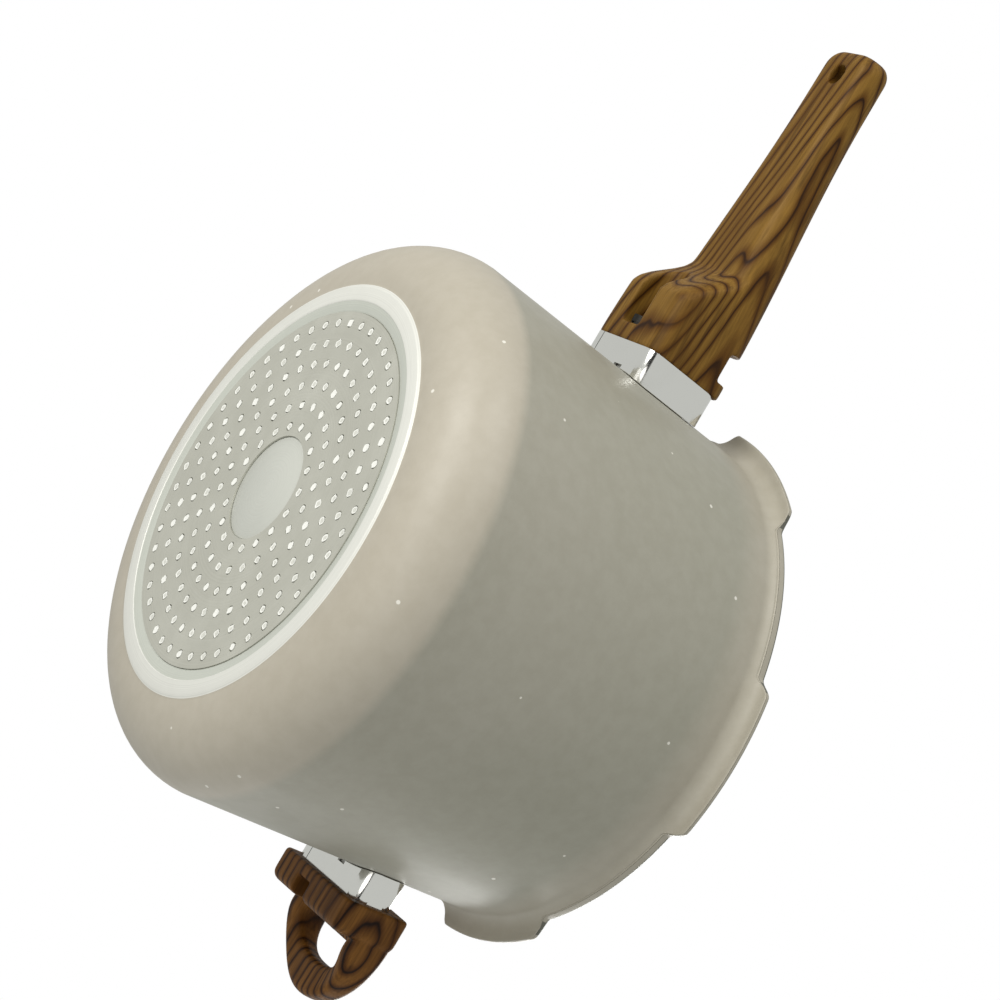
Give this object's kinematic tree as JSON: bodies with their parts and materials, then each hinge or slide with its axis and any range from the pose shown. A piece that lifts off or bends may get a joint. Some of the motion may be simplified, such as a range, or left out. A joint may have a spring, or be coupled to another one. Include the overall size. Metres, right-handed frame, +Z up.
{
  "type": "saucepan with glass lid",
  "caption": "Deep coated aluminium saucepan with a notched bayonet rim, a steel-faced induction base, a wood-look long handle and loop helper handle in bright collars, and a domed glass lid.",
  "frame": {"origin": "centre of the ring that the pan stands on, in the plane of the table", "axes": "+Z up along the pan's axis, +X along the long handle, the helper handle on -X"},
  "size_m": [0.4209, 0.2234, 0.2131],
  "materials": {
    "coated_aluminium": "satin greige coating, bare spun metal on the standing ring and rim edge",
    "base_steel": "circular satin",
    "handle_moulding": "satin moulding with a printed wood figure",
    "polished_collar": "polished",
    "fastener_steel": "plain zinc plated",
    "lid_steel": "polished stainless steel",
    "lid_glass": "clear tempered glass",
    "insert_brass": "turned",
    "silicone": "translucent matt"
  },
  "bodies": {
    "pot": {"pot_body": "coated_aluminium", "induction_plate": "base_steel", "long_handle": "handle_moulding", "long_handle_collar": "polished_collar", "long_handle_boss": "fastener_steel", "long_handle_screw": "fastener_steel", "long_handle_spring_washer": "fastener_steel", "helper_handle": "handle_moulding", "helper_handle_collar": "polished_collar", "helper_handle_boss": "fastener_steel", "helper_handle_screw": "fastener_steel", "helper_handle_spring_washer": "fastener_steel"},
    "lid": {"lid_glass": "lid_glass", "lid_rim_band": "lid_steel", "lid_vent_eyelet": "lid_steel", "lid_knob": "handle_moulding", "lid_knob_insert": "insert_brass", "lid_knob_ring": "lid_steel", "lid_knob_gasket": "silicone", "lid_under_gasket": "silicone", "lid_knob_washer": "fastener_steel", "lid_knob_screw": "fastener_steel"}
  },
  "joints": [
    {"name": "lid_lift", "type": "slide", "parent": "pot", "child": "lid", "axis": [0, 0, 1], "range_m": [0, 0.12]}
  ]
}
